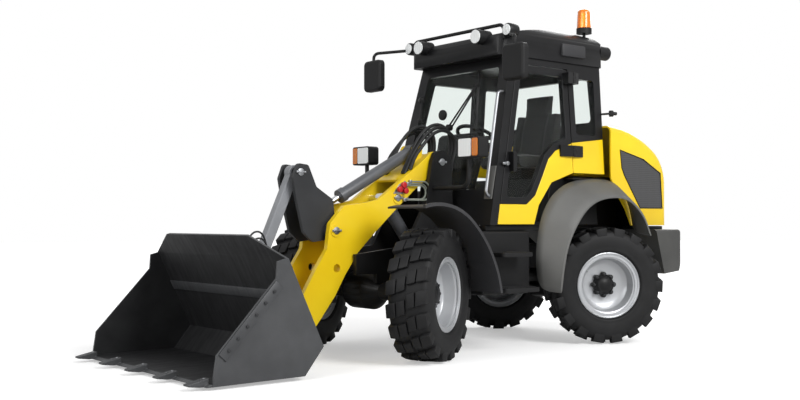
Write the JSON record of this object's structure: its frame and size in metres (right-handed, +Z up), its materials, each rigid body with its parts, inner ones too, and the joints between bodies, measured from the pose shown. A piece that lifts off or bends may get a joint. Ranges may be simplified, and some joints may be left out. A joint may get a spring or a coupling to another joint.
{
  "type": "compact wheel loader",
  "caption": "Compact wheel loader with a rigid frame, all-wheel steering, central boom, parallel lever linkage, toothed bucket and a glazed cab.",
  "frame": {"origin": "on the ground, midway between the bucket teeth tips and the tail, on the centre plane", "axes": "+X forward, +Y to the left, +Z up"},
  "size_m": [4.74, 2.0394, 2.76],
  "materials": {
    "tyre_black": "matt black rubber",
    "rim_silver": "silver paint",
    "dark_cast": "dark painted casting",
    "frame_black": "satin black paint",
    "plastic_black": "grained black",
    "seat_fabric": "black cloth",
    "body_yellow": "gloss yellow paint",
    "fender_grey": "dark grey",
    "bucket_grey": "worn charcoal paint",
    "barrel_grey": "grey paint",
    "rod_chrome": "polished",
    "glass_clear": "clear",
    "lamp_amber": "amber",
    "lens_clear": "clear lens",
    "tail_red": "red"
  },
  "bodies": {
    "chassis": {"amber_lenses": "lamp_amber", "beacon": "plastic_black", "cab_floor": "frame_black", "cab_frame": "frame_black", "cab_mounts": "plastic_black", "cab_roof": "plastic_black", "clear_lenses": "lens_clear", "counterweight": "fender_grey", "dash": "plastic_black", "door_hinges": "plastic_black", "drive_shaft": "dark_cast", "engine_block": "dark_cast", "frame": "frame_black", "front_axle": "dark_cast", "front_fenders": "fender_grey", "grab_bar": "barrel_grey", "headlamps": "frame_black", "hood_hinges": "plastic_black", "mirrors": "plastic_black", "rear_axle": "dark_cast", "rear_fenders": "fender_grey", "rear_window": "glass_clear", "seat_cushion": "seat_fabric", "seat_pedestal": "plastic_black", "side_glass": "glass_clear", "side_panels": "body_yellow", "side_tanks": "plastic_black", "steering_wheel": "plastic_black", "steps": "plastic_black", "tail_lamps": "tail_red", "windscreen": "glass_clear", "work_lamps": "frame_black"},
    "boom": {"boom": "body_yellow"},
    "lever": {"lever": "frame_black"},
    "link": {"link": "barrel_grey"},
    "tilt_barrel": {"tilt_barrel": "barrel_grey"},
    "tilt_rod": {"tilt_rod": "rod_chrome"},
    "lift_barrel": {"lift_barrel": "barrel_grey"},
    "lift_rod": {"lift_rod": "rod_chrome"},
    "bucket": {"bucket": "bucket_grey", "bucket_teeth": "bucket_grey", "quick_hitch": "frame_black"},
    "door": {"door_frame": "frame_black", "door_panel": "body_yellow", "door_glass": "glass_clear", "door_fittings": "plastic_black"},
    "hood": {"hood": "body_yellow", "hood_grille": "fender_grey"},
    "knuckle_front_left": {"knuckle_front_left": "dark_cast"},
    "wheel_front_left": {"rim_front_left": "rim_silver", "tyre_front_left": "tyre_black"},
    "knuckle_front_right": {"knuckle_front_right": "dark_cast"},
    "wheel_front_right": {"rim_front_right": "rim_silver", "tyre_front_right": "tyre_black"},
    "knuckle_rear_left": {"knuckle_rear_left": "dark_cast"},
    "wheel_rear_left": {"rim_rear_left": "rim_silver", "tyre_rear_left": "tyre_black"},
    "knuckle_rear_right": {"knuckle_rear_right": "dark_cast"},
    "wheel_rear_right": {"rim_rear_right": "rim_silver", "tyre_rear_right": "tyre_black"}
  },
  "joints": [
    {"name": "steer_front_left", "type": "hinge", "parent": "chassis", "child": "knuckle_front_left", "pos_m": [0.462, 0.573, 0.47], "axis": [0, 0, 1], "range_deg": [-66, 10]},
    {"name": "steer_front_right", "type": "hinge", "parent": "chassis", "child": "knuckle_front_right", "pos_m": [0.462, -0.573, 0.47], "axis": [0, 0, 1], "range_deg": [-66, 10]},
    {"name": "steer_rear_left", "type": "hinge", "parent": "chassis", "child": "knuckle_rear_left", "pos_m": [-1.498, 0.573, 0.47], "axis": [0, 0, 1], "range_deg": [-10, 66]},
    {"name": "steer_rear_right", "type": "hinge", "parent": "chassis", "child": "knuckle_rear_right", "pos_m": [-1.498, -0.573, 0.47], "axis": [0, 0, 1], "range_deg": [-10, 66]},
    {"name": "spin_front_left", "type": "hinge", "parent": "knuckle_front_left", "child": "wheel_front_left", "pos_m": [0.40566, 0.67895, 0.47], "axis": [-0.4695, 0.8829, 0], "continuous": true},
    {"name": "spin_front_right", "type": "hinge", "parent": "knuckle_front_right", "child": "wheel_front_right", "pos_m": [0.51834, -0.67895, 0.47], "axis": [-0.4695, 0.8829, 0], "continuous": true},
    {"name": "spin_rear_left", "type": "hinge", "parent": "knuckle_rear_left", "child": "wheel_rear_left", "pos_m": [-1.44166, 0.67895, 0.47], "axis": [0.4695, 0.8829, 0], "continuous": true},
    {"name": "spin_rear_right", "type": "hinge", "parent": "knuckle_rear_right", "child": "wheel_rear_right", "pos_m": [-1.55434, -0.67895, 0.47], "axis": [0.4695, 0.8829, 0], "continuous": true},
    {"name": "boom_lift", "type": "hinge", "parent": "chassis", "child": "boom", "pos_m": [-0.1, 0, 1.44], "axis": [0, -1, 0], "range_deg": [0, 88]},
    {"name": "bucket_tilt", "type": "hinge", "parent": "boom", "child": "bucket", "pos_m": [1.165, 0, 0.245], "axis": [0, 1, 0], "range_deg": [-40, 110]},
    {"name": "lever_swing", "type": "hinge", "parent": "boom", "child": "lever", "pos_m": [0.864, 0, 0.917], "axis": [0, 1, 0], "range_deg": [-40, 110]},
    {"name": "link_swing", "type": "hinge", "parent": "lever", "child": "link", "pos_m": [1.115, 0, 1.332], "axis": [0, 1, 0], "range_deg": [-110, 40]},
    {"name": "tilt_barrel_swing", "type": "hinge", "parent": "boom", "child": "tilt_barrel", "pos_m": [0.02, 0, 1.53], "axis": [0, 1, 0], "range_deg": [-1.4, 3.5]},
    {"name": "tilt_rod_slide", "type": "slide", "parent": "tilt_barrel", "child": "tilt_rod", "axis": [0.8833, 0, -0.4687], "range_m": [-0.08986, 0.24362]},
    {"name": "lift_barrel_swing", "type": "hinge", "parent": "chassis", "child": "lift_barrel", "pos_m": [-0.15, 0, 0.56], "axis": [0, -1, 0], "range_deg": [-0.2, 21.92]},
    {"name": "lift_rod_slide", "type": "slide", "parent": "lift_barrel", "child": "lift_rod", "axis": [0.6, 0, 0.8], "range_m": [-0.002, 0.56769]},
    {"name": "door_swing", "type": "hinge", "parent": "chassis", "child": "door", "pos_m": [-1.188, 0.60597, 1.8], "axis": [0, 0, 1], "range_deg": [0, 130]},
    {"name": "hood_lift", "type": "hinge", "parent": "chassis", "child": "hood", "pos_m": [-1.598, 0, 1.8], "axis": [0, 1, 0], "range_deg": [0, 50]}
  ],
  "couplings": [
    {"joint": "steer_front_right", "follows": "steer_front_left", "ratio": 1},
    {"joint": "steer_rear_left", "follows": "steer_front_left", "ratio": -1},
    {"joint": "steer_rear_right", "follows": "steer_front_left", "ratio": -1},
    {"joint": "lever_swing", "follows": "bucket_tilt", "ratio": 1},
    {"joint": "link_swing", "follows": "bucket_tilt", "ratio": -1},
    {"joint": "tilt_barrel_swing", "follows": "bucket_tilt", "ratio": 0.03},
    {"joint": "tilt_rod_slide", "follows": "bucket_tilt", "m_per_rad": 0.12585},
    {"joint": "lift_barrel_swing", "follows": "boom_lift", "ratio": 0.24685},
    {"joint": "lift_rod_slide", "follows": "boom_lift", "m_per_rad": 0.36832}
  ]
}
